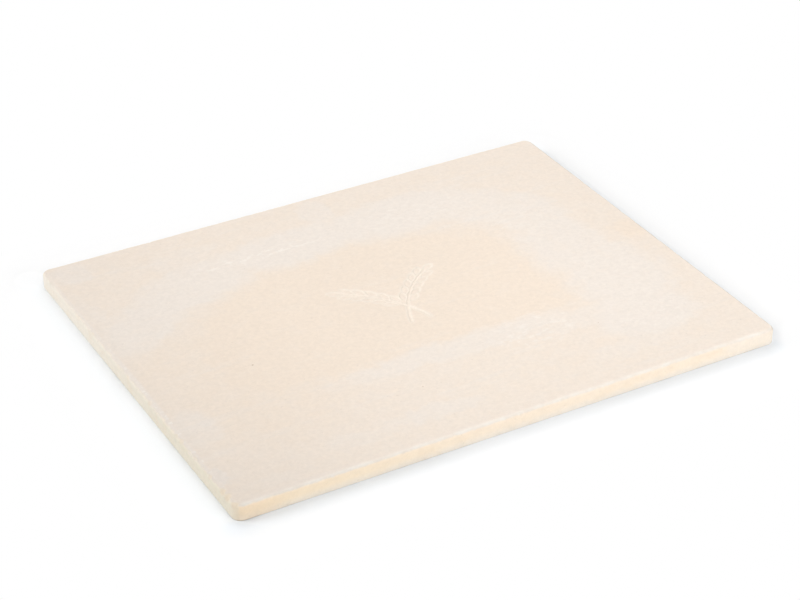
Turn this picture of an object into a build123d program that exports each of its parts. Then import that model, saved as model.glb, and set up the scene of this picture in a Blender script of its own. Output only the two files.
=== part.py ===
from build123d import *
import os
from math import cos, degrees, radians, sin

# One pressed and fired refractory slab, in millimetres.
# X runs along the long side, Y across it, and Z up from the face that it rests on.
# The origin is the middle of that face.

# The slab
slab_length = 450.0
slab_width = 350.0
slab_thickness = 12.5
plan_corner_radius = 7.0
top_arris_radius = 2.0
base_arris_radius = 0.5

# The plain ornament stamped into the baking face: two ears of grain that cross near their feet.
# Runs are measured along an ear's curved stalk, from the point where the two stalks cross.
stamp_depth = 0.5
crossing_setback = 11.0
ear_bend_radius = 105.0
foot_run = 22.0
first_kernel_run = 13.0
kernel_pitch = 9.4
kernel_offset = 4.2
kernel_length = 11.5
kernel_width = 5.2
stalk_width = 1.8
stamp_overrun = 1.0

# Its angles in degrees, and the number of kernel pairs on each ear
crossing_lean = 28.0
kernel_splay = 22.0
kernel_pairs = 5


def slab_blank():
    """The plain slab: a plate with rounded corners, and with its top and base arrises eased."""
    plan = RectangleRounded(slab_length, slab_width, plan_corner_radius)
    plate = extrude(plan, amount=slab_thickness)
    plate = fillet(plate.faces().sort_by(Axis.Z)[-1].edges(), radius=top_arris_radius)
    return fillet(plate.faces().sort_by(Axis.Z)[0].edges(), radius=base_arris_radius)


def stalk_point(run):
    """The point of the right-hand ear's axis at a run, and the heading there in degrees from +Y."""
    heading = crossing_lean + degrees(run / ear_bend_radius)
    across = ear_bend_radius * (cos(radians(crossing_lean)) - cos(radians(heading)))
    along = ear_bend_radius * (sin(radians(heading)) - sin(radians(crossing_lean)))
    return (across, along - crossing_setback), heading


def kernel(run, side):
    """One pointed kernel beside the stalk: side is 1 outside, -1 inside and 0 for the end one."""
    foot = (0, -kernel_length / 2)
    tip = (0, kernel_length / 2)
    outline = ThreePointArc(foot, (kernel_width / 2, 0), tip)
    outline += ThreePointArc(tip, (-kernel_width / 2, 0), foot)
    (x, y), heading = stalk_point(run)
    turned = Rot(0, 0, -heading) * Pos(side * kernel_offset, 0) * Rot(0, 0, -side * kernel_splay)
    return Pos(x, y) * turned * make_face(outline)


def ear():
    """The right-hand ear: its stalk, the pairs of kernels along it and the one at its end."""
    end_run = first_kernel_run + kernel_pairs * kernel_pitch
    stalk_end_run = end_run - kernel_length / 2
    runs = (-foot_run, (stalk_end_run - foot_run) / 2, stalk_end_run)
    outline = SlotArc(ThreePointArc(*[stalk_point(run)[0] for run in runs]), stalk_width)
    outline += kernel(end_run, 0)
    for pair in range(kernel_pairs):
        run = first_kernel_run + pair * kernel_pitch
        outline += kernel(run, 1)
        outline += kernel(run, -1)
    return outline


def stamp():
    """The solid that the ornament's die pushes out of the baking face."""
    right_ear = ear()
    both = right_ear + mirror(right_ear, about=Plane.YZ)
    return extrude(Pos(0, 0, slab_thickness - stamp_depth) * both, amount=stamp_depth + stamp_overrun)


def baking_slab():
    """The whole stone, which is one piece of fired clay."""
    return slab_blank() - stamp()


os.makedirs("parts", exist_ok=True)
export_step(baking_slab(), "parts/baking_slab.step")
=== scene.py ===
"""A rectangular baking stone of worn, fired clay, and the white studio that it is shown in."""
import logging
import math
from collections.abc import Mapping, Sequence
from dataclasses import dataclass
from enum import Enum
from functools import cache

import bpy
import numpy as np
from mathutils import Matrix, Vector, noise
from mathutils.geometry import delaunay_2d_cdt


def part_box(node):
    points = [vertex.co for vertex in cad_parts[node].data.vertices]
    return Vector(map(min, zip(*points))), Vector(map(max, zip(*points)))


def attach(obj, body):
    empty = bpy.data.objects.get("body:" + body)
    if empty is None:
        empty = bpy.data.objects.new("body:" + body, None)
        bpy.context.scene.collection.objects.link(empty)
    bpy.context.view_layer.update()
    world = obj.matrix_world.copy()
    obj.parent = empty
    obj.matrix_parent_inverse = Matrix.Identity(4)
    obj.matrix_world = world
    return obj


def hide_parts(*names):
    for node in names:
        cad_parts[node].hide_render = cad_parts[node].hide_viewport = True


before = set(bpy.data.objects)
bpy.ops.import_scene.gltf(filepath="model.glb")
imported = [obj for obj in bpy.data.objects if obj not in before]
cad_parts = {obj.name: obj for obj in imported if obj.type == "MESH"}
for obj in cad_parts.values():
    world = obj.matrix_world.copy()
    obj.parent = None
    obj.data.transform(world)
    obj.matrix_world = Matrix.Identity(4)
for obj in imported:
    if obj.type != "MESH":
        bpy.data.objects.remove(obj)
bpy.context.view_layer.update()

log = logging.getLogger("baking_stone")

MM = 0.001
Colour = tuple[float, float, float, float]
# What goes into a node's input: another node's output, a value, or None to leave it as it is
Feed = bpy.types.NodeSocket | float | Sequence[float] | None


def linear(red: float, green: float, blue: float) -> Colour:
    """The scene-linear colour of an opaque finish.

    Args:
        red: red as it shows on a screen, from 0 to 255.
        green: green, the same way.
        blue: blue, the same way.

    Returns:
        Linear red, green and blue, with an alpha of 1.
    """
    toe, toe_slope, lift, power = 0.04045, 12.92, 0.055, 2.4
    shown = [value / 255 for value in (red, green, blue)]
    curve = [v / toe_slope if v <= toe else ((v + lift) / (1 + lift)) ** power for v in shown]
    return (*curve, 1.0)


@dataclass(frozen=True)
class Waves:
    """Smooth, repeatable unevenness.

    Attributes:
        wavelength: the length of the longest waves, in metres.
        start: moves the pattern, so that two uses differ.
        octaves: how many lengths of wave there are, each half the one before.
    """

    wavelength: float
    start: float
    octaves: int = 3

    def at(self, places: np.ndarray) -> np.ndarray:
        """The unevenness at some places.

        Args:
            places: one point a row.

        Returns:
            A value from about -1 to 1 for each point.
        """
        fall, narrowing = 1.0, 2.0
        waves = places / self.wavelength + self.start
        return np.array([noise.fractal(Vector(wave), fall, narrowing, self.octaves)
                         for wave in waves])


def ease(value: np.ndarray, low: float, high: float) -> np.ndarray:
    """A smooth step from 0 at low to 1 at high."""
    share = np.clip((value - low) / (high - low), 0, 1)
    return share * share * (3 - 2 * share)


def lattice(half: Sequence[float], pitch: float) -> np.ndarray:
    """Points of a triangular lattice that fill a rectangle about the origin.

    Args:
        half: half the rectangle's length and half its width.
        pitch: the distance between neighbours.

    Returns:
        One point a row.
    """
    rise = pitch * math.sin(math.pi / 3)
    rows = []
    for number in range(-int(half[1] / rise), int(half[1] / rise) + 1):
        shift = pitch / 2 if number % 2 else 0.0
        across = np.arange(-half[0] + shift, half[0] + pitch / 2, pitch)
        rows.append(np.stack([across, np.full(len(across), number * rise)], axis=1))
    return np.concatenate(rows)


def placed(name: str, data: bpy.types.ID) -> bpy.types.Object:
    """Makes an object and puts it in the scene.

    Args:
        name: its name.
        data: its mesh, lamp or camera.

    Returns:
        The object.
    """
    made = bpy.data.objects.new(name, data)
    bpy.context.scene.collection.objects.link(made)
    return made


def looking(stand: Vector, way: Vector) -> Matrix:
    """The place and turn of a lamp or camera that stands at a point and looks along a way."""
    return Matrix.Translation(stand) @ way.to_track_quat("-Z", "Y").to_matrix().to_4x4()


def fill(ring: np.ndarray, inner: np.ndarray) -> list[tuple[int, ...]]:
    """Triangles that fill a closed ring and use the points inside it.

    Args:
        ring: the ring's points in order, one a row.
        inner: the points inside it, one a row.

    Returns:
        Each triangle's corners, counter-clockwise. The ring's points come first in the count.
    """
    points = np.concatenate([ring, inner])
    inside_only, nearness = 1, 1e-7
    outline = [list(range(len(ring)))]
    made = delaunay_2d_cdt([Vector(p) for p in points], [], outline, inside_only, nearness)
    faces, sources = made[2], made[3]
    triangles = np.array([[sources[corner][0] for corner in face] for face in faces])
    a, b, c = (points[triangles[:, corner]] for corner in range(3))
    turn = (b - a)[:, 0] * (c - a)[:, 1] - (b - a)[:, 1] * (c - a)[:, 0]
    triangles[turn < 0] = triangles[turn < 0][:, ::-1]
    return [tuple(triangle) for triangle in triangles.tolist()]


@dataclass(frozen=True)
class GrainStamp:
    """The ornament sunk into the baking face: two ears of grain that cross near their feet.

    Runs are measured along an ear's curved stalk, from the point where the two stalks cross.
    Headings are clockwise from +Y, in radians, and the ears mirror each other across X = 0.

    Attributes:
        depth: how deep it is sunk.
        wall_breadth: the breadth of its soft walls.
        kernel_crown: how far a kernel's floor rises in its middle.
        crossing_setback: how far the stalks' crossing lies from the face's middle, towards -Y.
        bend_radius: radius of a stalk's bend.
        foot_run: how far a stalk runs on below the crossing.
        first_kernel_run: the run of the first pair of kernels.
        kernel_pitch: the run from one pair to the next.
        kernel_offset: how far a pair's kernels lie from the stalk's axis.
        kernel_length: length of a kernel.
        kernel_width: breadth of a kernel in its middle.
        stalk_width: breadth of a stalk.
        crossing_lean: the right-hand stalk's heading at the crossing.
        kernel_splay: how far a pair's kernels turn away from the stalk.
        kernel_pairs: the number of pairs on an ear.
    """

    depth: float = 0.5 * MM
    wall_breadth: float = 0.9 * MM
    kernel_crown: float = 0.22 * MM
    crossing_setback: float = 11.0 * MM
    bend_radius: float = 105.0 * MM
    foot_run: float = 22.0 * MM
    first_kernel_run: float = 13.0 * MM
    kernel_pitch: float = 9.4 * MM
    kernel_offset: float = 4.2 * MM
    kernel_length: float = 11.5 * MM
    kernel_width: float = 5.2 * MM
    stalk_width: float = 1.8 * MM
    crossing_lean: float = math.radians(28.0)
    kernel_splay: float = math.radians(22.0)
    kernel_pairs: int = 5

    @property
    def end_run(self) -> float:
        """The run of the kernel at an ear's end."""
        return self.first_kernel_run + self.kernel_pairs * self.kernel_pitch

    @property
    def stalk_runs(self) -> tuple[float, float]:
        """The runs at which a stalk begins and ends."""
        return -self.foot_run, self.end_run - self.kernel_length / 2

    @property
    def bend_centre(self) -> np.ndarray:
        """The centre of the right-hand stalk's arc.

        Returns:
            Its X and Y.
        """
        across = self.bend_radius * math.cos(self.crossing_lean)
        along = -self.bend_radius * math.sin(self.crossing_lean) - self.crossing_setback
        return np.array([across, along])

    def heading(self, run: float) -> float:
        """The right-hand stalk's heading at a run."""
        return self.crossing_lean + run / self.bend_radius

    def stalk_place(self, run: float) -> np.ndarray:
        """The point of the right-hand stalk's axis at a run."""
        heading = self.heading(run)
        return self.bend_centre + self.bend_radius * np.array([-math.cos(heading),
                                                               math.sin(heading)])

    def kernels(self) -> list[tuple[np.ndarray, float]]:
        """Where the right-hand ear's kernels are.

        Returns:
            The middle and the heading of each.
        """
        found = [(self.stalk_place(self.end_run), self.heading(self.end_run))]
        for pair in range(self.kernel_pairs):
            run = self.first_kernel_run + pair * self.kernel_pitch
            heading = self.heading(run)
            across = np.array([math.cos(heading), -math.sin(heading)])
            for side in (1, -1):
                middle = self.stalk_place(run) + side * self.kernel_offset * across
                found.append((middle, heading + side * self.kernel_splay))
        return found

    def kernel_arc(self) -> tuple[float, float]:
        """The two arcs of a kernel's outline.

        Returns:
            Their radius, and how far their centres lie from its axis.
        """
        half_length, half_width = self.kernel_length / 2, self.kernel_width / 2
        radius = (half_length**2 + half_width**2) / (2 * half_width)
        return radius, radius - half_width

    def by_kernel(self, places: np.ndarray, middle: np.ndarray,
                  heading: float) -> tuple[np.ndarray, np.ndarray, np.ndarray]:
        """How some places lie beside one kernel.

        Args:
            places: one point of the face a row.
            middle: the kernel's middle.
            heading: its heading.

        Returns:
            The distance outside its outline, the offset from its axis and the offset along it.
        """
        away = places - middle
        along = away @ np.array([math.sin(heading), math.cos(heading)])
        across = away @ np.array([math.cos(heading), -math.sin(heading)])
        radius, centre_offset = self.kernel_arc()
        return np.hypot(np.abs(across) + centre_offset, along) - radius, across, along

    def by_stalk(self, places: np.ndarray) -> np.ndarray:
        """How far some places lie outside the right-hand stalk.

        Args:
            places: one point of the face a row.

        Returns:
            The distance of each, negative within the stalk.
        """
        away = places - self.bend_centre
        run = (np.arctan2(away[:, 1], -away[:, 0]) - self.crossing_lean) * self.bend_radius
        first, last = self.stalk_runs
        ends = [np.hypot(*(places - self.stalk_place(end)).T) for end in (first, last)]
        beside = np.abs(np.hypot(*away.T) - self.bend_radius)
        inside = (run >= first) & (run <= last)
        return np.where(inside, beside, np.minimum(*ends)) - self.stalk_width / 2

    def read(self, places: np.ndarray) -> tuple[np.ndarray, np.ndarray]:
        """How the whole ornament lies about some places.

        Args:
            places: one point of the face a row.

        Returns:
            The distance outside the ornament's outline, negative within it, and the crown
            that a kernel's floor has there, from 0 to 1.
        """
        beyond = np.full(len(places), np.inf)
        crown = np.zeros(len(places))
        for mirror in (1, -1):
            seen = places * np.array([mirror, 1])
            beyond = np.minimum(beyond, self.by_stalk(seen))
            for middle, heading in self.kernels():
                outside, across, along = self.by_kernel(seen, middle, heading)
                beyond = np.minimum(beyond, outside)
                across_share = np.clip(1 - (2 * across / self.kernel_width) ** 2, 0, 1)
                along_share = np.clip(1 - (2 * along / self.kernel_length) ** 2, 0, 1)
                crown = np.maximum(crown, across_share * along_share)
        return beyond, crown

    def relief(self, places: np.ndarray) -> tuple[np.ndarray, np.ndarray, np.ndarray]:
        """What the ornament does to some places of the face.

        Args:
            places: one point of the face a row.

        Returns:
            The height that it adds, how far within it each place is and how near its lip.
        """
        beyond, crown = self.read(places)
        sunk = 1 - ease(beyond, -self.wall_breadth / 2, self.wall_breadth / 2)
        lip = np.exp(-((beyond - self.wall_breadth / 2) / self.wall_breadth) ** 2)
        return -sunk * (self.depth - self.kernel_crown * crown), sunk, lip

    def contour(self, offset: float, pitch: float) -> np.ndarray:
        """Points along a line that follows the ornament's outline.

        Args:
            offset: how far outside the outline the line lies.
            pitch: the distance between points.

        Returns:
            One point a row, without those that another kernel or stalk covers.
        """
        radius, centre_offset = self.kernel_arc()
        reach = math.acos(centre_offset / (radius + offset))
        turns = np.linspace(-reach, reach, max(2, round(2 * reach * radius / pitch)))
        arc = np.stack([(radius + offset) * np.cos(turns) - centre_offset,
                        (radius + offset) * np.sin(turns)], axis=1)
        lines = []
        for middle, heading in self.kernels():
            axes = np.array([[math.cos(heading), -math.sin(heading)],
                             [math.sin(heading), math.cos(heading)]])
            lines += [middle + arc @ axes, middle - arc @ axes]
        first, last = self.stalk_runs
        runs = np.linspace(first, last, round((last - first) / pitch))
        headings = self.crossing_lean + runs / self.bend_radius
        rays = np.stack([-np.cos(headings), np.sin(headings)], axis=1)
        half = self.stalk_width / 2 + offset
        lines += [self.bend_centre + rays * (self.bend_radius + half * side) for side in (1, -1)]
        drawn = np.concatenate([line * np.array([mirror, 1])
                                for line in lines for mirror in (1, -1)])
        beyond, slack = self.read(drawn)[0], 0.01 * MM
        return drawn[np.abs(beyond - offset) < slack]


class RimSide(Enum):
    """A side of the slab, by the direction in which it faces."""

    NEAR_LONG = (0, -1)
    FAR_LONG = (0, 1)
    NEAR_SHORT = (-1, 0)
    FAR_SHORT = (1, 0)


@dataclass(frozen=True)
class Chip:
    """A bite out of the top arris.

    Attributes:
        side: the side that it is on.
        run: how far along the side it lies from the middle, towards +X or +Y.
        reach: its radius.
        depth: how deep it bites, along the arris's own diagonal.
    """

    side: RimSide
    run: float
    reach: float
    depth: float


def chips(side: RimSide, *rows: Sequence[float]) -> tuple[Chip, ...]:
    """The chips of one side, each given by its run, reach and depth in millimetres."""
    return tuple(Chip(side, *(value * MM for value in row)) for row in rows)


@dataclass(frozen=True)
class Surface:
    """Points of the slab's skin before it is weathered.

    Attributes:
        places: one point a row.
        facing: the skin's outward direction at each.
    """

    places: np.ndarray
    facing: np.ndarray


@dataclass(frozen=True)
class BakingSlab:
    """The slab as one closed, weathered mesh that fills its CAD solid.

    Attributes:
        low: lowest corner of the CAD solid.
        high: highest corner of the CAD solid.
        stamp: the ornament in the middle of the baking face.
        chips: the larger bites out of the top arris.
        rim_rubs_and_highlights: how pale each side's edge of the face is made, from 0 to 1, by wear
            and by painted highlight.
        corner_radius: plan radius of the four corners.
        top_arris: radius of the eased arris round the baking face.
        base_arris: radius of the eased arris round the base.
        arris_guard: distance above the base arris of a mesh row that keeps the wall's shading flat.
        rim_pitch: distance between mesh columns round the rim.
        wall_pitch: distance between mesh rows down the wall.
        face_pitch: distance between mesh points on the open face.
        stamp_pitch: the same inside the ornament.
        contour_pitch: the same along the ornament's outline.
        base_pitch: the same on the base.
        arris_wear: how far the arrises are worn back at most.
        nibble_wear: depth of the small bites along them.
        rub_and_highlight_reach: the insets between which the face's pale edge and painted highlight
            fade out.
        rub_and_highlight_break: how far that edge breaks up into dashes along the side, from 0 to
            1.
        rough_side: the side with the most worn arris.
        rough_gain: how much more it is worn.
        full_break: depth from which a chip shows the body's own colour.
        wall_unevenness: depth of the wall's shallow hollows.
        face_unevenness: height of the face's long waves.
        rub_waves: how the arrises' wear comes and goes.
        nibble_waves: where the small bites lie.
        hollow_waves: where the wall's hollows lie.
        face_waves: the face's long waves.
        chip_waves: how ragged the chips' outlines are.
        dash_waves: where the dashes lie.
    """

    low: Vector
    high: Vector
    stamp: GrainStamp
    chips: tuple[Chip, ...]
    rim_rubs_and_highlights: Mapping[RimSide, float]
    corner_radius: float = 7.0 * MM
    top_arris: float = 2.0 * MM
    base_arris: float = 0.5 * MM
    arris_guard: float = 0.15 * MM
    rim_pitch: float = 0.9 * MM
    wall_pitch: float = 1.2 * MM
    face_pitch: float = 2.6 * MM
    stamp_pitch: float = 1.1 * MM
    contour_pitch: float = 0.55 * MM
    base_pitch: float = 11.0 * MM
    arris_wear: float = 0.22 * MM
    nibble_wear: float = 0.3 * MM
    rub_and_highlight_reach: tuple[float, float] = (1.0 * MM, 5.2 * MM)
    rub_and_highlight_break: float = 0.5
    rough_side: RimSide = RimSide.NEAR_SHORT
    rough_gain: float = 1.8
    full_break: float = 0.8 * MM
    wall_unevenness: float = 0.08 * MM
    face_unevenness: float = 0.06 * MM
    rub_waves: Waves = Waves(16 * MM, 3.7)
    nibble_waves: Waves = Waves(3.1 * MM, 9.2, 2)
    hollow_waves: Waves = Waves(8 * MM, 5.1)
    face_waves: Waves = Waves(60 * MM, 1.3)
    chip_waves: Waves = Waves(2.4 * MM, 7.7, 2)
    dash_waves: Waves = Waves(11 * MM, 2.9)

    @property
    def half(self) -> np.ndarray:
        """Half the slab's length and half its width."""
        return np.array([self.high.x - self.low.x, self.high.y - self.low.y]) / 2

    @property
    def thickness(self) -> float:
        """The slab's thickness."""
        return self.high.z - self.low.z

    def outline(self) -> tuple[np.ndarray, np.ndarray]:
        """The plan's outline, counter-clockwise.

        Returns:
            One point a row, and the outward direction at each.
        """
        corner = self.half - self.corner_radius
        arc_steps = round(math.pi / 2 * self.corner_radius / self.rim_pitch)
        points, outward = [], []
        for quarter in range(4):
            turns = math.pi / 2 * (quarter - 1 + np.linspace(0, 1, arc_steps + 1))
            rays = np.stack([np.cos(turns), np.sin(turns)], axis=1)
            arc = np.sign(rays[arc_steps // 2]) * corner + self.corner_radius * rays
            run = 2 * corner[1 - quarter % 2]
            count = round(run / self.rim_pitch)
            shares = np.arange(1, count)[:, None] / count
            onward = np.array([-rays[-1][1], rays[-1][0]])
            points += [arc, arc[-1] + shares * run * onward]
            outward += [rays, np.repeat(rays[-1:], count - 1, axis=0)]
        return np.concatenate(points), np.concatenate(outward)

    def section(self) -> list[tuple[float, float, float]]:
        """The rim's section from the base up to the face.

        Returns:
            For each row of the mesh its inset from the outline, its height and the angle by
            which the skin there looks above the level, in radians.
        """
        base_steps, arris_steps = 3, 7
        wall_steps = round((self.thickness - self.base_arris - self.top_arris) / self.wall_pitch)
        wall_top = self.thickness - self.top_arris
        heights = np.linspace(self.base_arris, wall_top, wall_steps + 1)[1:-1]
        rows = [(self.base_arris * (1 - math.cos(tilt)),
                 self.base_arris * (1 + math.sin(tilt)), tilt)
                for tilt in np.linspace(-math.pi / 2, 0, base_steps + 1)]
        rows += [(0.0, height, 0.0) for height in (self.base_arris + self.arris_guard, *heights)]
        rows += [(self.top_arris * (1 - math.cos(tilt)),
                  wall_top + self.top_arris * math.sin(tilt), tilt)
                 for tilt in np.linspace(0, math.pi / 2, arris_steps + 1)]
        return rows

    def rim(self) -> Surface:
        """The skin of the base arris, the walls and the top arris.

        Returns:
            Its points, row by row from the base.
        """
        points, outward = self.outline()
        places, facing = [], []
        for inset, height, tilt in self.section():
            level = points - inset * outward
            places.append(np.column_stack([level, np.full(len(level), height)]))
            rise = np.full(len(level), math.sin(tilt))
            facing.append(np.column_stack([outward * math.cos(tilt), rise]))
        return Surface(np.concatenate(places), np.concatenate(facing))

    def face_points(self) -> np.ndarray:
        """Mesh points of the baking face inside its arris, closer by the rim and the ornament.

        Returns:
            One point a row.
        """
        points, outward = self.outline()
        ring_steps = ((0.9 * MM, 1), (2.0 * MM, 1), (3.4 * MM, 2))
        rings = [(points - (self.top_arris + inset) * outward)[::stride]
                 for inset, stride in ring_steps]
        margin = self.top_arris + ring_steps[-1][0] + self.face_pitch / 2
        stamp_reach = 3 * self.stamp_pitch
        open_face = lattice(self.half - margin, self.face_pitch)
        open_face = open_face[self.stamp.read(open_face)[0] > stamp_reach]
        wall = self.stamp.wall_breadth / 2
        inside = lattice((self.stamp.end_run, self.stamp.end_run), self.stamp_pitch)
        beyond = self.stamp.read(inside)[0]
        inside = inside[(beyond < stamp_reach) & (np.abs(beyond) > wall + self.stamp_pitch / 2)]
        lines = [self.stamp.contour(share * wall, self.contour_pitch)
                 for share in (-1, -1 / 3, 1 / 3, 1)]
        return np.concatenate([*rings, open_face, inside, *lines])

    def chip_places(self) -> list[tuple[Chip, np.ndarray, np.ndarray]]:
        """Where the chips are.

        Returns:
            Each chip, its middle on the arris and the direction in which the arris faces there.
        """
        diagonal = math.cos(math.pi / 4)
        points, outward = self.outline()
        inset = self.top_arris * (1 - diagonal)
        found = []
        for chip in self.chips:
            facing = np.array(chip.side.value)
            wanted = facing * self.half + np.abs(facing[::-1]) * chip.run
            nearest = int(np.argmin(np.hypot(*(points - wanted).T)))
            middle = np.append(points[nearest] - inset * outward[nearest], self.thickness - inset)
            found.append((chip, middle, np.append(outward[nearest], 1) * diagonal))
        return found

    def rim_rub_and_highlight(self, places: np.ndarray) -> np.ndarray:
        """How pale wear and painted highlight make the top arris and the face just inside it.

        Args:
            places: one point a row.

        Returns:
            0 to 1 for each point.
        """
        level = places[:, :2]
        gaps = np.stack([np.sum(np.abs(side.value) * self.half) - level @ np.array(side.value)
                         for side in RimSide], axis=1)
        inset = gaps.min(axis=1)
        shares = np.exp((inset[:, None] - gaps) / self.top_arris)
        amount = shares @ np.array([self.rim_rubs_and_highlights[side] for side in RimSide]) / shares.sum(axis=1)
        inner, outer = self.rub_and_highlight_reach
        return amount * (1 - ease(inset, inner, outer))

    def chip_away(self, worn: np.ndarray, places: np.ndarray) -> np.ndarray:
        """Takes the chips out of the skin.

        Args:
            worn: the skin's points, one a row, which this moves.
            places: where they were before any wear.

        Returns:
            How freshly broken each point is, from 0 to 1.
        """
        raggedness, floor_share = 0.35, 0.35
        fresh = np.zeros(len(places))
        breakup = 1 + raggedness * self.chip_waves.at(places)
        for chip, middle, outward in self.chip_places():
            away = np.linalg.norm(places - middle, axis=1) / chip.reach * breakup
            bite = 1 - ease(away, floor_share, 1.0)
            worn -= outward * (chip.depth * bite)[:, None]
            fresh = np.maximum(fresh, bite * min(1, chip.depth / self.full_break))
        return fresh

    def weather(self, skin: Surface) -> tuple[np.ndarray, dict[str, np.ndarray]]:
        """Rubs, nibbles and chips the skin, paints its edge's highlight and sinks the ornament into
        it.

        Args:
            skin: the skin as it left the die.

        Returns:
            The weathered points, and for each of them how pale wear and painted highlight make it,
            how freshly broken and how far down in the ornament, from 0 to 1.
        """
        rub_mean, rub_spread = 0.55, 0.45
        nibble_range, dash_range, face_range = (0.12, 0.5), (-0.3, 0.4), (0.3, 1.0)
        nibble_rub, lip_rub = 0.15, 0.36
        places, facing = skin.places, skin.facing
        upright = np.clip(1 - facing[:, 2] ** 2, 0, 1)
        arris = 2 * np.abs(facing[:, 2]) * np.sqrt(upright)
        level = np.clip(facing[:, 2], 0, 1)
        rough = np.clip(facing[:, :2] @ np.array(self.rough_side.value), 0, 1)
        gain = 1 + (self.rough_gain - 1) * rough
        rub = np.clip(rub_mean + rub_spread * self.rub_waves.at(places), 0, 1)
        nibbles = ease(self.nibble_waves.at(places), *nibble_range)
        hollows = 0.5 + 0.5 * self.hollow_waves.at(places)
        inward = arris * gain * (self.arris_wear * rub + self.nibble_wear * nibbles)
        inward += (upright * self.wall_unevenness * hollows
                   - level * self.face_unevenness * self.face_waves.at(places))
        worn = places - facing * inward[:, None]
        fresh = self.chip_away(worn, places)

        on_face = facing[:, 2] > 1 - 1e-9
        relief, within, lip = self.stamp.relief(places[on_face][:, :2])
        worn[on_face, 2] += relief
        sunk = np.zeros(len(places))
        sunk[on_face] = within
        kept = 1 - self.rub_and_highlight_break * (1 - ease(self.dash_waves.at(places), *dash_range))
        # The face's pale edge: wear, and along the near long side mostly a painted highlight, in
        # dashes
        rub_and_highlight = self.rim_rub_and_highlight(places) * ease(level, *face_range) * kept
        rub_and_highlight += nibble_rub * nibbles * arris
        rub_and_highlight[on_face] += lip_rub * lip
        return worn, {"rub_and_highlight": np.clip(rub_and_highlight, 0, 1), "fresh": fresh, "sunk": sunk}

    def build(self) -> bpy.types.Object:
        """Makes the slab's mesh, with its wear kept as point attributes.

        Returns:
            The slab.
        """
        rim = self.rim()
        columns, rows = len(self.outline()[0]), len(self.section())
        face = self.face_points()
        flat = np.column_stack([face, np.full(len(face), self.thickness)])
        up = np.tile([0.0, 0.0, 1.0], (len(face), 1))
        skin = Surface(np.concatenate([rim.places, flat]), np.concatenate([rim.facing, up]))
        worn, wear = self.weather(skin)
        base = lattice(self.half - self.base_pitch / 2, self.base_pitch)
        base_start = len(worn)
        places = np.concatenate([worn, np.column_stack([base, np.zeros(len(base))])])

        faces = []
        for row in range(rows - 1):
            for column in range(columns):
                following = (column + 1) % columns
                low, high = row * columns, (row + 1) * columns
                faces.append((low + column, low + following, high + following, high + column))
        top_start = (rows - 1) * columns
        faces += [tuple(top_start + c for c in corners)
                  for corners in fill(rim.places[top_start:, :2], face)]
        for corners in fill(rim.places[:columns, :2], base):
            numbered = [c if c < columns else base_start + c - columns for c in corners]
            faces.append(tuple(reversed(numbered)))

        mesh = bpy.data.meshes.new("fired_slab")
        mesh.from_pydata(places.tolist(), [], faces)
        mesh.validate()
        mesh.shade_smooth()
        for name, values in wear.items():
            layer = mesh.attributes.new(name, "FLOAT", "POINT")
            whole = np.append(values, np.zeros(len(base)))
            layer.data.foreach_set("value", whole.astype(np.float32))
        return placed("fired_slab", mesh)

    def dress(self, slab: bpy.types.Object, finish: bpy.types.Material) -> None:
        """Puts the slab in its finish and in the place of its CAD node.

        Args:
            slab: the slab.
            finish: its finish.
        """
        slab.data.materials.append(finish)
        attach(slab, "root")
        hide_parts("baking_slab")


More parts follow.
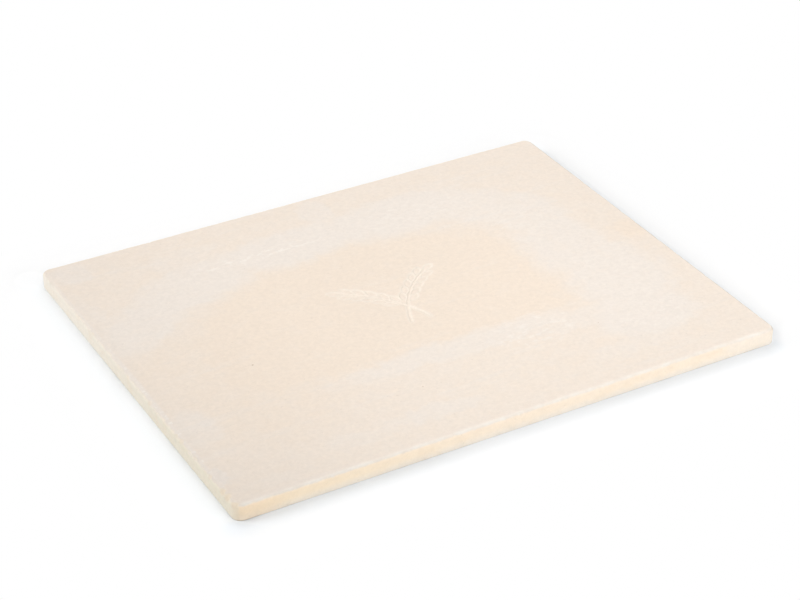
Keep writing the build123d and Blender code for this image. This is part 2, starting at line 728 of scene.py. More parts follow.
class NodeSheet:
    """Writes nodes into one node tree. Most methods add a node and return the socket it gives."""

    def __init__(self, tree: bpy.types.NodeTree) -> None:
        """Starts writing into a node tree."""
        self.tree = tree

    def feed(self, socket: bpy.types.NodeSocket, value: Feed) -> None:
        """Links another socket to an input, or sets the input's value.

        Args:
            socket: the input.
            value: what goes into it.
        """
        if isinstance(value, bpy.types.NodeSocket):
            self.tree.links.new(value, socket)
        elif value is not None:
            socket.default_value = value

    def feed_named(self, node: bpy.types.Node, **values: Feed) -> bpy.types.NodeOutputs:
        """Feeds a node's inputs by their names.

        Args:
            node: the node.
            **values: what goes into each input, with _ for each space of its name.

        Returns:
            The node's outputs.
        """
        for name, value in values.items():
            self.feed(node.inputs[name.replace("_", " ")], value)
        return node.outputs

    def add(self, kind: str, *values: Feed, **settings: object) -> bpy.types.Node:
        """Adds a node.

        Args:
            kind: the node's type.
            *values: what goes into its inputs in order, with None for one left as it is.
            **settings: its properties.

        Returns:
            The node.
        """
        node = self.tree.nodes.new(kind)
        for name, value in settings.items():
            setattr(node, name, value)
        for socket, value in zip(node.inputs, values):
            self.feed(socket, value)
        return node

    def place_effect(self, effect: bpy.types.NodeTree, **values: Feed) -> bpy.types.NodeOutputs:
        """Adds an effect's group node, feeds its named inputs and gives its outputs."""
        return self.feed_named(self.add("ShaderNodeGroup", node_tree=effect), **values)

    def math(self, operation: str, *values: Feed, clamp: bool = False) -> bpy.types.NodeSocket:
        """A sum, product or other arithmetic on numbers."""
        return self.add("ShaderNodeMath", *values, operation=operation, use_clamp=clamp).outputs[0]

    def vector(self, operation: str, *values: Feed) -> bpy.types.NodeSocket:
        """The same on vectors."""
        return self.add("ShaderNodeVectorMath", *values, operation=operation).outputs[0]

    def length(self, vector: Feed) -> bpy.types.NodeSocket:
        """A vector's length."""
        return self.add("ShaderNodeVectorMath", vector, operation="LENGTH").outputs["Value"]

    def axes(self, vector: Feed) -> bpy.types.NodeOutputs:
        """A vector's parts, as outputs named X, Y and Z."""
        return self.add("ShaderNodeSeparateXYZ", vector).outputs

    def step(self, value: Feed, low: Feed, high: Feed) -> bpy.types.NodeSocket:
        """A smooth step from 0 at low to 1 at high, where high may be the lower number."""
        values = (value, low, high, 0.0, 1.0)
        return self.add("ShaderNodeMapRange", *values, interpolation_type="SMOOTHSTEP").outputs[0]

    def noise(self, place: Feed, scale: Feed, detail: Feed,
              roughness: float) -> bpy.types.NodeSocket:
        """Soft noise about 0.5."""
        node = self.add("ShaderNodeTexNoise")
        return self.feed_named(node, Vector=place, Scale=scale, Detail=detail,
                               Roughness=roughness)[0]

    def cells(self, place: Feed, scale: Feed) -> tuple[bpy.types.NodeSocket, bpy.types.NodeSocket]:
        """How far the nearest of many scattered points is, and a number of that point's own."""
        found = self.feed_named(self.add("ShaderNodeTexVoronoi"), Vector=place, Scale=scale)
        return found["Distance"], self.add("ShaderNodeSeparateColor", found["Color"]).outputs[0]

    def colour(self, share: Feed, first: Feed, second: Feed,
               blend: str = "MIX") -> bpy.types.NodeSocket:
        """A mix of two colours."""
        values = (share, *[None] * 5, first, second)
        return self.add("ShaderNodeMix", *values, data_type="RGBA", blend_type=blend).outputs[2]

    def lerp(self, share: Feed, first: Feed, second: Feed) -> bpy.types.NodeSocket:
        """A mix of two numbers."""
        return self.add("ShaderNodeMix", share, None, first, second, data_type="FLOAT").outputs[0]


def new_finish(name: str) -> tuple[bpy.types.Material, NodeSheet, bpy.types.NodeSocket]:
    """Starts a material.

    Args:
        name: its name.

    Returns:
        The material, a sheet to write it with, and the place in the object's own frame.
    """
    finish = bpy.data.materials.new(name)
    finish.use_nodes = True
    sheet = NodeSheet(finish.node_tree)
    return finish, sheet, sheet.add("ShaderNodeTexCoord").outputs["Object"]


def new_effect(
    name: str, takes: Mapping[str, float | Sequence[float]], gives: Sequence[str],
) -> tuple[NodeSheet, bpy.types.NodeOutputs, bpy.types.NodeInputs]:
    """Starts an effect: a shader node group with named inputs and outputs.

    Args:
        name: the group's name.
        takes: each input's name and default, which is a number or a vector.
        gives: the outputs' names, all of them numbers.

    Returns:
        A sheet to write the group with, what comes in and where the result goes.
    """
    tree = bpy.data.node_groups.new(name, "ShaderNodeTree")
    for label, default in takes.items():
        kind = "NodeSocketFloat" if isinstance(default, float) else "NodeSocketVector"
        tree.interface.new_socket(label, in_out="INPUT", socket_type=kind).default_value = default
    for label in gives:
        tree.interface.new_socket(label, in_out="OUTPUT", socket_type="NodeSocketFloat")
    sheet = NodeSheet(tree)
    return sheet, sheet.add("NodeGroupInput").outputs, sheet.add("NodeGroupOutput").inputs


@cache
def soft_oval() -> bpy.types.NodeTree:
    """A mask that is 1 inside a leaning oval of the face and fades out past its edge.

    Returns:
        The effect's group.
    """
    takes = {"Place": (0, 0, 0), "Middle": (0, 0, 0), "Half size": (1, 1, 1), "Lean": 0.0,
             "Feather": 0.3}
    sheet, given, result = new_effect("soft_oval", takes, ["Mask"])
    back = sheet.math("MULTIPLY", given["Lean"], -1.0)
    turned = sheet.add("ShaderNodeVectorRotate", given["Place"], given["Middle"], None, back,
                       rotation_type="Z_AXIS").outputs[0]
    away = sheet.vector("MULTIPLY", sheet.vector("SUBTRACT", turned, given["Middle"]), (1, 1, 0))
    reach = sheet.length(sheet.vector("DIVIDE", away, given["Half size"]))
    outer = sheet.math("ADD", 1.0, given["Feather"])
    inner = sheet.math("SUBTRACT", 1.0, given["Feather"])
    sheet.feed(result["Mask"], sheet.step(reach, outer, inner))
    return sheet.tree


@cache
def cloud() -> bpy.types.NodeTree:
    """Soft unevenness from about -1 to 1.

    Returns:
        The effect's group.
    """
    takes = {"Place": (0, 0, 0), "Size": 0.01, "Detail": 3.0}
    sheet, given, result = new_effect("cloud", takes, ["Value"])
    roughness, contrast = 0.55, 3.0
    scale = sheet.math("DIVIDE", 1.0, given["Size"])
    soft = sheet.noise(given["Place"], scale, given["Detail"], roughness)
    sheet.feed(result["Value"], sheet.math("MULTIPLY_ADD", soft, contrast, -contrast / 2))
    return sheet.tree


@cache
def sand_grain() -> bpy.types.NodeTree:
    """The body's sand and crushed grog: a tint from about -1 to 1, and a height.

    Returns:
        The effect's group.
    """
    takes = {"Place": (0, 0, 0), "Size": 0.001}
    sheet, given, result = new_effect("sand_grain", takes, ["Tint", "Height"])
    grog_size, grog_share, detail, roughness = 2.4, 0.45, 3.0, 0.7
    scale = sheet.math("DIVIDE", 1.0, given["Size"])
    sand = sheet.noise(given["Place"], scale, detail, roughness)
    apart, own = sheet.cells(given["Place"], sheet.math("DIVIDE", scale, grog_size))
    sand_tint = sheet.math("MULTIPLY_ADD", sand, 4.0 * (1 - grog_share), -2.0 * (1 - grog_share))
    grog_tint = sheet.math("MULTIPLY_ADD", own, 2.0 * grog_share, -grog_share)
    tint = sheet.math("ADD", sand_tint, grog_tint)
    sheet.feed(result["Tint"], tint)
    sheet.feed(result["Height"], sheet.math("MULTIPLY_ADD", apart, -grog_share, sand))
    return sheet.tree


@cache
def drag_streaks() -> bpy.types.NodeTree:
    """Long streaks, as a scraper or a dry cloth leaves in the powder.

    Returns:
        The effect's group.
    """
    takes = {"Place": (0, 0, 0), "Size": (0.1, 0.01, 0.01), "Threshold": 0.56, "Softness": 0.16}
    sheet, given, result = new_effect("drag_streaks", takes, ["Mask"])
    detail, roughness = 3.0, 0.6
    scaled = sheet.vector("DIVIDE", given["Place"], given["Size"])
    soft = sheet.noise(scaled, 1.0, detail, roughness)
    full = sheet.math("ADD", given["Threshold"], given["Softness"])
    sheet.feed(result["Mask"], sheet.step(soft, given["Threshold"], full))
    return sheet.tree


@cache
def scattered_spots() -> bpy.types.NodeTree:
    """Small round spots of many sizes, scattered through the body.

    Returns:
        The effect's group.
    """
    takes = {"Place": (0, 0, 0), "Pitch": 0.01, "Breadth": 0.001}
    sheet, given, result = new_effect("scattered_spots", takes, ["Mask"])
    rim_share = 0.55
    apart, own = sheet.cells(given["Place"], sheet.math("DIVIDE", 1.0, given["Pitch"]))
    radius = sheet.math("MULTIPLY", own, sheet.math("DIVIDE", given["Breadth"], given["Pitch"]))
    sheet.feed(result["Mask"], sheet.step(apart, radius, sheet.math("MULTIPLY", radius, rim_share)))
    return sheet.tree


@dataclass(frozen=True)
class Patch:
    """A leaning oval of the slab, seen from above, that something covers.

    Attributes:
        middle: its middle.
        half_size: half its length and half its breadth.
        lean: how far its length turns from +X towards +Y, in degrees.
        amount: how thick the cover is, from 0 to 1.
        feather: how softly it ends, as a share of its size.
    """

    middle: tuple[float, float]
    half_size: tuple[float, float]
    lean: float = 0.0
    amount: float = 1.0
    feather: float = 0.4

    def mask(self, sheet: NodeSheet, place: Feed) -> bpy.types.NodeSocket:
        """How thick the cover is at a place.

        Args:
            sheet: the sheet to write it on.
            place: the place.

        Returns:
            0 to the patch's amount.
        """
        found = sheet.place_effect(soft_oval(), Place=place, Middle=(*self.middle, 0),
                                   Half_size=(*self.half_size, 1), Lean=math.radians(self.lean),
                                   Feather=self.feather)["Mask"]
        return sheet.math("MULTIPLY", found, self.amount)


def oval(x: float, y: float, half_length: float, half_breadth: float, *rest: float) -> Patch:
    """A patch, with its middle and its half sizes in millimetres and the rest as Patch has it."""
    return Patch((x * MM, y * MM), (half_length * MM, half_breadth * MM), *rest)


def thickest(sheet: NodeSheet, place: Feed, patches: Sequence[Patch],
             least: Feed) -> bpy.types.NodeSocket:
    """The thickest cover that any of some patches gives at a place.

    Args:
        sheet: the sheet to write it on.
        place: the place.
        patches: the patches.
        least: the cover where they give less.

    Returns:
        The cover.
    """
    total = least
    for patch in patches:
        total = sheet.math("MAXIMUM", total, patch.mask(sheet, place))
    return total


@dataclass(frozen=True)
class Blotches:
    """Soft unevenness of a colour or an edge, from about -1 to 1.

    Attributes:
        size: how large the blotches are.
        detail: how many finer sizes are added.
    """

    size: float
    detail: float

    def at(self, sheet: NodeSheet, place: Feed) -> bpy.types.NodeSocket:
        """The unevenness at a place, written on a sheet."""
        return sheet.place_effect(cloud(), Place=place, Size=self.size, Detail=self.detail)["Value"]


@dataclass(frozen=True)
class FiredClay:
    """The slab's finish: sandy fired clay, pale powder on its face, worn arrises, painted highlight
    and shade.

    Attributes:
        half: half the slab's length and half its width.
        powder: where powder lies on the face.
        scuffs: the thin dry scuffs on it.
        bare_patches: where hardly any lies: first the middle of the face, whose near side ends
            straight, then smaller places.
        painted_shades: painted shade on the face, and painted light where an amount is below 0.
        speck: the one dark speck of iron on the face.
        wall_corner_shade: painted shade on the walls at the corner closest to the camera, in the
            stains' colour.
        edge_dust: the edge of the face on which powder lies in an even strip.
        bare: the bare clay's colour.
        powdered: its colour under powder.
        scuffed: a dry scuff's colour.
        long_wall: the long walls' colour at their -X end, and from their middle on.
        dusty_wall: their colour under dust, which lies along their foot and at their +X end.
        short_wall: the short walls' colour at their -Y end and at their +Y end.
        stain_and_shade: the colour of stains, and of the painted shade on the walls at that corner.
        rub_and_highlight: the colour of worn, pale edges and of the painted highlight at the face's
            edge.
        broken: the body's colour where it is freshly broken.
        iron: the colour of iron in the body.
        thin_powder: how thick the powder lies between the bare places and the patches.
        ragged_edges: what makes the powder's edges ragged, and how far each part shifts them.
        powder_blotches: how the powder's thickness comes and goes.
        stain_blotches: where the walls are a little marked by stains.
        border_blotches: how the face's finish runs out over the top arris.
        coarse_blotches: the body's coarse unevenness.
        mottle: its finer unevenness.
        grain_size: the size of its sand.
        pits: the distance between the pits in it, and how broad they are.
        specks: the same for its small specks of iron.
        fine_bump: how strong the bumps of the sand and the pits are, and how deep.
        coarse_bump: the same for the coarse unevenness.
        specular: how strongly it reflects.
        dullest: its roughness.
        smoothest: its roughness on worn edges and under the painted highlight.
    """

    half: tuple[float, float]
    powder: tuple[Patch, ...]
    scuffs: tuple[Patch, ...]
    bare_patches: tuple[Patch, ...]
    painted_shades: tuple[Patch, ...]
    speck: Patch
    wall_corner_shade: Patch
    edge_dust: Patch
    bare: Colour = linear(239, 224, 208)
    powdered: Colour = linear(237, 227, 217)
    scuffed: Colour = linear(244, 236, 227)
    long_wall: tuple[Colour, Colour] = (linear(244, 226, 199), linear(245, 229, 209))
    dusty_wall: Colour = linear(236, 231, 224)
    short_wall: tuple[Colour, Colour] = (linear(228, 220, 203), linear(238, 230, 218))
    stain_and_shade: Colour = linear(236, 213, 184)
    rub_and_highlight: Colour = linear(247, 240, 230)
    broken: Colour = linear(223, 208, 187)
    iron: Colour = linear(176, 146, 116)
    thin_powder: float = 0.45
    ragged_edges: tuple[tuple[Blotches, tuple[float, float, float]], ...] = (
        (Blotches(38 * MM, 4.0), (9 * MM, 6 * MM, 0)),
        (Blotches(11 * MM, 2.0), (-5 * MM, 4 * MM, 0)),
    )
    powder_blotches: Blotches = Blotches(12 * MM, 4.0)
    stain_blotches: Blotches = Blotches(10 * MM, 3.0)
    border_blotches: Blotches = Blotches(9 * MM, 4.0)
    coarse_blotches: Blotches = Blotches(22 * MM, 5.0)
    mottle: Blotches = Blotches(4 * MM, 2.0)
    grain_size: float = 0.8 * MM
    pits: tuple[float, float] = (6 * MM, 0.9 * MM)
    specks: tuple[float, float] = (41 * MM, 0.8 * MM)
    fine_bump: tuple[float, float] = (0.8, 0.09 * MM)
    coarse_bump: tuple[float, float] = (0.6, 0.25 * MM)
    specular: float = 0.25
    dullest: float = 0.97
    smoothest: float = 0.8

    def face_powder(self, sheet: NodeSheet, place: Feed) -> bpy.types.NodeSocket:
        """How thick the powder lies on the face.

        Args:
            sheet: the material's sheet.
            place: the place on the slab.

        Returns:
            0 on the bare middle to 1.
        """
        straight_end = (-80 * MM, -62 * MM)
        streak_size, streak_strength, blotch_strength = (110 * MM, 9 * MM, 9 * MM), 0.2, 0.24
        shifted = place
        for blotches, reach in self.ragged_edges:
            shift = sheet.vector("MULTIPLY", blotches.at(sheet, place), reach)
            shifted = sheet.vector("ADD", shifted, shift)
        middle, *smaller = self.bare_patches
        end = sheet.step(sheet.axes(shifted)["Y"], *straight_end)
        bare = sheet.math("MULTIPLY", middle.mask(sheet, shifted), end)
        bare = thickest(sheet, shifted, smaller, bare)
        total = sheet.math("MULTIPLY_ADD", bare, -self.thin_powder, self.thin_powder)
        total = thickest(sheet, shifted, self.powder, total)
        streaks = sheet.place_effect(drag_streaks(), Place=place, Size=streak_size)["Mask"]
        total = sheet.math("MULTIPLY_ADD", streaks, streak_strength, total)
        blotch = self.powder_blotches.at(sheet, place)
        return sheet.math("MULTIPLY_ADD", blotch, blotch_strength, total, clamp=True)

    def face_colour(self, sheet: NodeSheet, place: Feed, sunk: Feed) -> bpy.types.NodeSocket:
        """The baking face: bare clay, powder, which also settles in the ornament, and dry scuffs.

        Args:
            sheet: the material's sheet.
            place: the place on the slab.
            sunk: how far down in the ornament it is, from 0 to 1.

        Returns:
            The face's colour.
        """
        sunk_powder, sunk_scuff = 0.1, 0.06
        scrape_size, scrape_threshold, scrape_softness = (8 * MM, 4 * MM, 4 * MM), 0.52, 0.1
        powder = thickest(sheet, place, [self.edge_dust], self.face_powder(sheet, place))
        powder = sheet.math("MULTIPLY_ADD", sunk, sunk_powder, powder, clamp=True)
        colour = sheet.colour(powder, self.bare, self.powdered)
        scuffs = thickest(sheet, place, self.scuffs, 0.0)
        ragged = sheet.place_effect(drag_streaks(), Place=place, Size=scrape_size,
                                    Threshold=scrape_threshold, Softness=scrape_softness)["Mask"]
        settled = sheet.math("MULTIPLY", sunk, sunk_scuff)
        shown = sheet.math("MAXIMUM", sheet.math("MULTIPLY", scuffs, ragged), settled)
        return sheet.colour(shown, colour, self.scuffed)

    def wall_colour(self, sheet: NodeSheet, place: Feed, facing: Feed) -> bpy.types.NodeSocket:
        """The walls, which change from one end of a side to the other.

        Args:
            sheet: the material's sheet.
            place: the place on the slab.
            facing: how far the wall faces +X, from -1 to 1.

        Returns:
            The walls' colour.
        """
        half_length, half_width = self.half
        long_turn, corner_turn = (-half_length, 0.1 * half_length), (-0.3, -0.85)
        foot_height, foot_dust = 7.5 * MM, 0.6
        dusty_end, end_dust = (0.76 * half_length, 0.82 * half_length), 0.35
        stain_range, stain_strength = (-0.1, 0.9), 0.25
        along = sheet.axes(place)
        long_wall = sheet.colour(sheet.step(along["X"], *long_turn), *self.long_wall)
        foot = sheet.math("MULTIPLY", sheet.step(along["Z"], foot_height, 0.0), foot_dust)
        end = sheet.math("MULTIPLY", sheet.step(along["X"], *dusty_end), end_dust)
        long_wall = sheet.colour(sheet.math("MAXIMUM", foot, end), long_wall, self.dusty_wall)
        short_wall = sheet.colour(sheet.step(along["Y"], -half_width, half_width), *self.short_wall)
        wall = sheet.colour(sheet.step(facing, *corner_turn), long_wall, short_wall)
        stain_and_corner_shade = sheet.step(self.stain_blotches.at(sheet, place), *stain_range)
        stain_and_corner_shade = sheet.math("MULTIPLY", stain_and_corner_shade, stain_strength)
        # Painted shade on the walls at the corner closest to the camera, in the stains' colour
        stain_and_corner_shade = sheet.math("MAXIMUM", stain_and_corner_shade, self.wall_corner_shade.mask(sheet, place))
        return sheet.colour(stain_and_corner_shade, wall, self.stain_and_shade)

    def shading(self, sheet: NodeSheet, place: Feed, level: Feed) -> bpy.types.NodeSocket:
        """How painted shade, and painted light where an amount is below 0, change the face's
        brightness.

        Args:
            sheet: the material's sheet.
            place: the place on the slab.
            level: 1 on the face and 0 on the walls.

        Returns:
            A factor, which is 1 on the walls.
        """
        total = 0.0
        for patch in self.painted_shades:
            total = sheet.math("ADD", total, patch.mask(sheet, place))
        return sheet.math("SUBTRACT", 1.0, sheet.math("MULTIPLY", total, level))

    def skin_colour(self, sheet: NodeSheet, place: Feed,
                    worn: Mapping[str, bpy.types.NodeSocket]) -> bpy.types.NodeSocket:
        """The colour of the face, the walls, the pale edges and painted highlight, and the
        underside.

        Args:
            sheet: the material's sheet.
            place: the place on the slab.
            worn: the slab's wear and painted highlight, by the names of its point attributes.

        Returns:
            The colour before chips, iron and grain.
        """
        border, border_strength, underside = (0.45, 0.92), 0.2, (-0.5, -0.9)
        rub_and_highlight_strength = 0.4
        facing = sheet.axes(sheet.add("ShaderNodeNewGeometry").outputs["Normal"])
        face = self.face_colour(sheet, place, worn["sunk"])
        wall = self.wall_colour(sheet, place, facing["X"])
        patchy = self.border_blotches.at(sheet, place)
        rise = sheet.math("ABSOLUTE", facing["Z"])
        level = sheet.step(sheet.math("MULTIPLY_ADD", patchy, border_strength, rise), *border)
        body = sheet.colour(level, wall, face)
        # Pale worn edges, and the painted highlight along the face's edge, mostly by the near long
        # side
        rub_and_highlight_share = sheet.math("MULTIPLY_ADD", patchy, rub_and_highlight_strength, 1.0)
        rub_and_highlight_share = sheet.math("MULTIPLY", worn["rub_and_highlight"], rub_and_highlight_share, clamp=True)
        body = sheet.colour(rub_and_highlight_share, body, self.rub_and_highlight)
        # Painted shade on the face, laid over its pale edges and painted highlight too
        body = sheet.colour(1.0, body, self.shading(sheet, place, level), "MULTIPLY")
        return sheet.colour(sheet.step(facing["Z"], *underside), body, self.bare)

    def build(self) -> bpy.types.Material:
        """Makes the material.

        Returns:
            The material.
        """
        fresh_strength, speck_strength, gloss_strength, pit_depth = 0.9, 0.5, 0.03, -2.0
        grain_tint, mottle_tint, coarse_tint, pit_painted_shade = 0.036, 0.032, 0.003, -0.06
        finish, sheet, place = new_finish("sandy_fired_clay")
        shader = finish.node_tree.nodes["Principled BSDF"]
        worn = {name: sheet.add("ShaderNodeAttribute", attribute_name=name).outputs["Fac"]
                for name in ("rub_and_highlight", "fresh", "sunk")}
        grain = sheet.place_effect(sand_grain(), Place=place, Size=self.grain_size)
        coarse = self.coarse_blotches.at(sheet, place)
        pits, specks = (sheet.place_effect(scattered_spots(), Place=place, Pitch=pitch,
                                           Breadth=breadth)["Mask"]
                        for pitch, breadth in (self.pits, self.specks))

        body = self.skin_colour(sheet, place, worn)
        fresh = sheet.math("MULTIPLY", worn["fresh"], fresh_strength)
        body = sheet.colour(fresh, body, self.broken)
        specks = sheet.math("MULTIPLY", specks, speck_strength)
        iron = sheet.math("MAXIMUM", specks, self.speck.mask(sheet, place))
        body = sheet.colour(iron, body, self.iron)
        mottle = self.mottle.at(sheet, place)
        # The grain, the mottle and the coarse unevenness vary the tone at random; the pits are
        # painted darker, as painted shade in them
        shade = 1.0
        for effect, strength in ((grain["Tint"], grain_tint), (mottle, mottle_tint),
                                 (coarse, coarse_tint), (pits, pit_painted_shade)):
            shade = sheet.math("MULTIPLY_ADD", effect, strength, shade)
        sheet.feed(shader.inputs["Base Color"], sheet.colour(1.0, body, shade, "MULTIPLY"))

        gloss = sheet.lerp(worn["rub_and_highlight"], self.dullest, self.smoothest)
        gloss = sheet.math("MULTIPLY_ADD", grain["Tint"], gloss_strength, gloss)
        sheet.feed(shader.inputs["Roughness"], gloss)
        shader.inputs["Specular IOR Level"].default_value = self.specular

        fine = sheet.math("MULTIPLY_ADD", pits, pit_depth, grain["Height"])
        normal = None
        for height, (strength, depth) in ((fine, self.fine_bump), (coarse, self.coarse_bump)):
            bump = sheet.add("ShaderNodeBump", strength, depth)
            normal = sheet.feed_named(bump, Height=height, Normal=normal)[0]
        sheet.feed(shader.inputs["Normal"], normal)
        return finish


@dataclass(frozen=True)
class Softbox:
    """A square studio lamp with plain white light.

    Attributes:
        name: its name.
        bearing: the way from the point that it faces to the lamp, clockwise from +Y, in degrees.
        rise: how far that way looks above the level, in degrees.
        distance: how far off it stands.
        breadth: its side.
        power: its power in watts.
        aim: the point that it faces.
    """

    name: str
    bearing: float
    rise: float
    distance: float
    breadth: float
    power: float
    aim: tuple[float, float, float] = (0.0, 0.0, 0.0)

    def build(self) -> bpy.types.Object:
        """Makes the lamp, which the camera doesn't see.

        Returns:
            The lamp.
        """
        light = bpy.data.lights.new(self.name, "AREA")
        light.size, light.energy = self.breadth, self.power
        away = Vector((0, self.distance, 0))
        away.rotate(Matrix.Rotation(math.radians(self.rise), 3, "X"))
        away.rotate(Matrix.Rotation(-math.radians(self.bearing), 3, "Z"))
        lamp = placed(self.name, light)
        lamp.matrix_world = looking(Vector(self.aim) + away, -away)
        lamp.visible_camera = False
        return lamp


@dataclass(frozen=True)
class Viewpoint:
    """The camera.

    Attributes:
        stand: where it stands.
        heading: the way it looks, clockwise from +Y, in degrees.
        dip: how far it looks below the level, in degrees.
        lens: its focal length in millimetres.
        sensor: its sensor's breadth in millimetres.
        reach: the distances between which it sees.
    """

    stand: tuple[float, float, float] = (-0.7038, -1.2457, 0.905)
    heading: float = 29.44
    dip: float = 31.98
    lens: float = 99.15
    sensor: float = 36.0
    reach: tuple[float, float] = (0.05, 50.0)

    def build(self) -> bpy.types.Object:
        """Makes the camera and looks through it.

        Returns:
            The camera.
        """
        heading, dip = math.radians(self.heading), math.radians(self.dip)
        way = Vector((math.sin(heading) * math.cos(dip), math.cos(heading) * math.cos(dip),
                      -math.sin(dip)))
        data = bpy.data.cameras.new("camera")
        data.sensor_fit, data.sensor_width, data.lens = "HORIZONTAL", self.sensor, self.lens
        data.clip_start, data.clip_end = self.reach
        camera = placed("camera", data)
        camera.matrix_world = looking(Vector(self.stand), way)
        bpy.context.scene.camera = camera
        return camera


def seen_by_camera(sheet: NodeSheet) -> bpy.types.NodeSocket:
    """1 for a ray that comes straight from the camera, and 0 for one that lights a surface."""
    return sheet.add("ShaderNodeLightPath").outputs["Is Camera Ray"]


@dataclass(frozen=True)
class Studio:
    """The white floor, the light and the camera.

    Attributes:
        lamps: the softboxes.
        viewpoint: the camera.
        sky: strength of the even light from all round.
        sky_tint: its colour.
        floor_half: half the floor's side.
        floor_drop: how far the floor lies below the slab, so that the two don't share a plane.
        slab_half: half the slab's length and half its width.
        floor_colour: the floor's paint.
        close_colour: the same beside the slab, cooler by as much as the slab's own bounce warms it.
        near_long_colour: the same by the near long side, where the bounce is the strongest.
        near_long_start: how far before that side's line the one passes to the other, and how far
            past it that ends.
        bounce_reach: how far from the slab that goes.
        shading_reach: the distances from the slab between which the floor that the camera sees
            passes from its own shading to plain white.
        thinned_shadow: where the slab's shadow is thinned for the camera: past its right-hand and
            left-hand corners, and a little at the middle of either near side.
        corner_shadow: where it is deepened by painted shadow: under the corner that is closest to
            the camera.
    """

    lamps: tuple[Softbox, ...]
    viewpoint: Viewpoint
    slab_half: tuple[float, float]
    sky: float = 0.15
    sky_tint: tuple[float, float, float] = (1.0, 1.0, 1.0)
    floor_half: float = 6.0
    floor_drop: float = 0.05 * MM
    floor_colour: Colour = (0.92, 0.92, 0.92, 1.0)
    close_colour: Colour = (0.895, 0.92, 0.942, 1.0)
    near_long_colour: Colour = (0.883, 0.92, 0.957, 1.0)
    near_long_start: tuple[float, float] = (6 * MM, 1 * MM)
    bounce_reach: float = 24 * MM
    shading_reach: tuple[float, float] = (10 * MM, 60 * MM)
    thinned_shadow: tuple[Patch, ...] = (
        oval(258, -186, 31, 31, 0, 0.9, 0.16),
        oval(-230, 187, 12, 12, 0, 0.75, 0.25),
        oval(0, -180, 64, 12, 0, 0.2, 0.5),
        oval(-228, -30, 6, 34, 0, 0.25, 0.5),
    )
    corner_shadow: Patch = oval(-217.5, -170, 7.5, 8, 0, 0.24, 1.0)

    def build_sky(self) -> None:
        """Makes the even light, and a plain white backdrop for the camera."""
        world = bpy.data.worlds.new("studio_sky")
        world.use_nodes = True
        bpy.context.scene.world = world
        sheet = NodeSheet(world.node_tree)
        light = world.node_tree.nodes["Background"]
        light.inputs["Color"].default_value = (*self.sky_tint, 1.0)
        light.inputs["Strength"].default_value = self.sky
        backdrop = sheet.add("ShaderNodeBackground", (1, 1, 1, 1), 1.0)
        both = sheet.add("ShaderNodeMixShader", seen_by_camera(sheet), light.outputs[0],
                         backdrop.outputs[0])
        sheet.feed(world.node_tree.nodes["World Output"].inputs["Surface"], both.outputs[0])

    def floor_finish(self) -> bpy.types.Material:
        """The floor's white paint, which keeps the slab's shadow and is plain white further off.

        Returns:
            The paint.
        """
        finish, sheet, place = new_finish("studio_floor")
        finish.node_tree.nodes.remove(finish.node_tree.nodes["Principled BSDF"])
        beyond = sheet.vector("SUBTRACT", sheet.vector("ABSOLUTE", place), (*self.slab_half, 0))
        beyond = sheet.vector("MULTIPLY", sheet.vector("MAXIMUM", beyond, (0, 0, 0)), (1, 1, 0))
        beyond = sheet.length(beyond)
        edge, (before, past) = -self.slab_half[1], self.near_long_start
        front = sheet.step(sheet.axes(place)["Y"], edge + before, edge - past)
        close = sheet.colour(front, self.close_colour, self.near_long_colour)
        colour = sheet.colour(sheet.step(beyond, 0.0, self.bounce_reach), close, self.floor_colour)
        # Painted shadow: the paint darkens under the corner closest to the camera
        colour = sheet.colour(self.corner_shadow.mask(sheet, place), colour, (0, 0, 0, 1))
        paint = sheet.add("ShaderNodeBsdfDiffuse", colour)
        white = sheet.add("ShaderNodeEmission", (1, 1, 1, 1), 1.0)
        far_share = sheet.step(beyond, *self.shading_reach)
        far_share = thickest(sheet, place, self.thinned_shadow, far_share)
        far_share = sheet.math("MULTIPLY", far_share, seen_by_camera(sheet))
        whole = sheet.add("ShaderNodeMixShader", far_share, paint.outputs[0], white.outputs[0])
        sheet.feed(finish.node_tree.nodes["Material Output"].inputs["Surface"], whole.outputs[0])
        return finish

    def build_floor(self) -> bpy.types.Object:
        """Makes the floor.

        Returns:
            The floor.
        """
        corners = [(x * self.floor_half, y * self.floor_half, -self.floor_drop)
                   for x, y in ((-1, -1), (1, -1), (1, 1), (-1, 1))]
        mesh = bpy.data.meshes.new("studio_floor")
        mesh.from_pydata(corners, [], [(0, 1, 2, 3)])
        mesh.materials.append(self.floor_finish())
        floor = placed("studio_floor", mesh)
        return floor

    def build(self) -> None:
        """Makes the whole studio."""
        self.build_sky()
        self.build_floor()
        for lamp in self.lamps:
            lamp.build()
        self.viewpoint.build()
        bpy.context.scene.view_settings.view_transform = "Standard"


# How pale each side's edge of the face is made: by the near long side mostly a painted highlight,
# elsewhere wear
RIM_RUBS_AND_HIGHLIGHTS = {
    RimSide.NEAR_LONG: 0.9,
    RimSide.FAR_LONG: 0.08,
    RimSide.NEAR_SHORT: 0.0,
    RimSide.FAR_SHORT: 0.12,
}

CHIPS = (
    *chips(RimSide.NEAR_SHORT,
           (-171, 4.4, 1.0), (-160, 4.8, 0.8), (-153, 4.2, 0.9), (-134, 3.0, 0.4),
           (-109, 2.4, 0.25), (-86, 3.6, 0.4), (-79, 2.2, 0.3), (-33, 3.4, 0.35),
           (6, 2.2, 0.2), (71, 2.6, 0.2)),
    *chips(RimSide.NEAR_LONG,
           (-96, 1.7, 0.2), (34, 1.5, 0.2), (171, 1.8, 0.2)),
    *chips(RimSide.FAR_LONG,
           (-132, 2.0, 0.4), (77, 1.6, 0.35)),
    *chips(RimSide.FAR_SHORT,
           (-48, 1.9, 0.4), (129, 1.6, 0.3)),
)

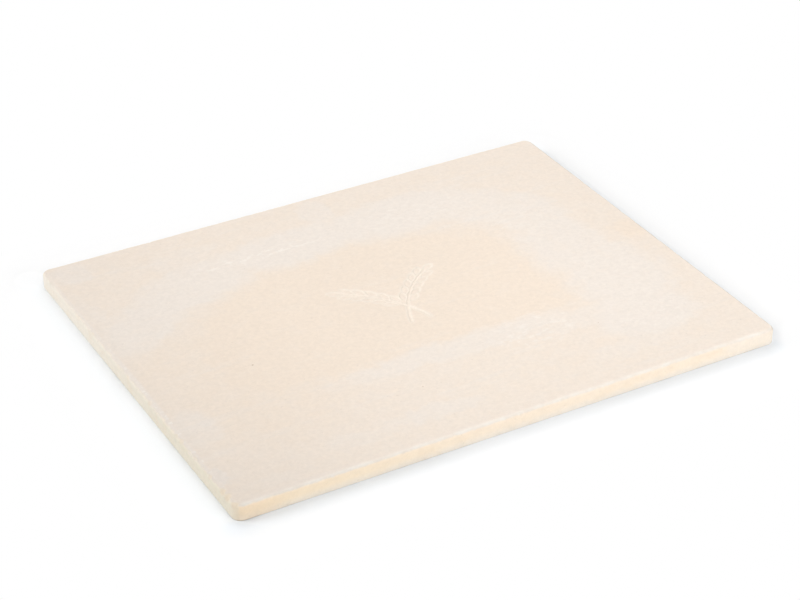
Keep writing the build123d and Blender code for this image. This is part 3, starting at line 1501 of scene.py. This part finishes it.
# Each oval's X and Y, half length and half breadth, lean, amount and, where it isn't the usual
# one, feather
POWDER = (
    oval(-186, 64, 58, 28, 38, 0.95),
    oval(-128, 98, 66, 31, 17, 0.95),
    oval(-36, 113, 76, 27, 3, 1.0),
    oval(62, 115, 80, 31, 0, 1.0),
    oval(120, 96, 48, 32, -32, 0.9),
    oval(154, 64, 32, 42, 6, 0.9),
    oval(156, 8, 36, 54, 0, 0.95),
    oval(166, -54, 44, 54, 0, 1.0),
    oval(154, -104, 48, 37, 0, 1.0),
    oval(98, -88, 52, 16, -6, 0.75),
    oval(6, -80, 112, 13, 1, 0.85),
    oval(-212, -78, 20, 26, 0, 0.75),
    oval(-218, 78, 14, 52, 0, 0.7),
    oval(-220, -138, 7, 13, 0, 1.0),
    oval(-52, -143, 44, 11, 0, 0.8),
    oval(-116, -146, 34, 11, 0, 0.65),
    oval(118, -140, 46, 12, 0, 0.7),
    oval(-190, -160, 26, 8, 0, 0.6),
    oval(4, 150, 16, 22, 0, 0.8),
    oval(-206, 158, 22, 18, 0, 0.8),
    oval(-118, 140, 40, 14, 8, 0.65),
    oval(118, 140, 26, 12, 0, 0.65),
)

BARE = (
    oval(-18, -10, 152, 105, 0, 1.0, 0.12),
    oval(-150, -60, 62, 66, 28, 0.55, 0.35),
    oval(-190, 4, 34, 22, 30, 0.5, 0.5),
    oval(212, 2, 14, 15, 0, 1.0, 0.5),
)

SCUFFS = (
    oval(-66, 112, 56, 6, 0, 0.8, 0.5),
    oval(66, -86, 34, 20, 0, 0.5, 0.5),
    oval(166, -40, 32, 50, 0, 0.2, 0.5),
    oval(156, -112, 40, 24, 0, 0.28, 0.5),
    oval(76, 112, 62, 18, -4, 0.32, 0.5),
    oval(142, 58, 26, 26, 30, 0.28, 0.5),
    oval(-221.8, -62, 1.4, 100, 0, 1.0, 0.5),
)

# Painted shade on the face: darker towards the -X end, at the corner closest to the camera, along
# the long edges and beside the -X edge; the one amount below 0 is painted light right of the middle
PAINTED_SHADES = (
    oval(-300, 0, 330, 600, 0, 0.03, 1.0),
    oval(-300, 0, 150, 600, 0, 0.045, 0.6),
    oval(-225, -175, 130, 130, 0, 0.05, 0.9),
    oval(-225, -175, 50, 36, 0, 0.02, 0.9),
    oval(0, -235, 420, 90, 0, 0.04, 0.9),
    oval(-20, 235, 300, 80, 0, 0.025, 0.9),
    oval(105, 0, 70, 85, 0, -0.02, 0.9),
    oval(-218, -40, 5, 120, 0, 0.014, 0.8),
    oval(-224.4, 0, 2.4, 190, 0, 0.02, 0.6),
)

# Painted shade on the walls at the corner closest to the camera
WALL_CORNER_SHADE = oval(-218, -177, 26, 7, 0, 0.5, 0.6)

EDGE_DUST = oval(-224, 0, 4.5, 200, 0, 0.9, 0.45)

IRON_SPECK = oval(-139, -26, 0.8, 0.6, 20, 0.6, 0.4)

# Each lamp's name, bearing, rise, distance, breadth, power and, where it isn't the origin, aim
LAMPS = (
    Softbox("left_softbox", -70, 35, 3.2, 1.8, 61),
    Softbox("front_softbox", 180, 45, 1.6, 0.9, 11.3),
    Softbox("right_softbox", 45, 40, 1.6, 0.9, 5.6),
    Softbox("back_softbox", 0, 35, 1.6, 0.9, 5.8),
    Softbox("low_front_softbox", 169, 20, 0.87, 0.4, 1.9, (0.2, -0.1, 0.0)),
    Softbox("top_softbox", 90, 69, 1.28, 0.6, 0.9, (0.15, 0.0, 0.0)),
)


def main() -> None:
    """Builds the stone and its studio, and reports each piece."""
    logging.basicConfig(level=logging.INFO, format="%(name)s: %(message)s")
    low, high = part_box("baking_slab")
    slab = BakingSlab(low, high, GrainStamp(), CHIPS, RIM_RUBS_AND_HIGHLIGHTS)
    finish = FiredClay(tuple(slab.half), POWDER, SCUFFS, BARE, PAINTED_SHADES, IRON_SPECK, WALL_CORNER_SHADE,
                       EDGE_DUST).build()
    piece = slab.build()
    slab.dress(piece, finish)
    log.info("%s: %d points, %d faces, in %s", piece.name, len(piece.data.vertices),
             len(piece.data.polygons), finish.name)
    studio = Studio(LAMPS, Viewpoint(), tuple(slab.half))
    studio.build()
    log.info("studio: %d softboxes and a camera with a %.0f mm lens", len(studio.lamps),
             studio.viewpoint.lens)


if __name__ == "__main__":
    main()
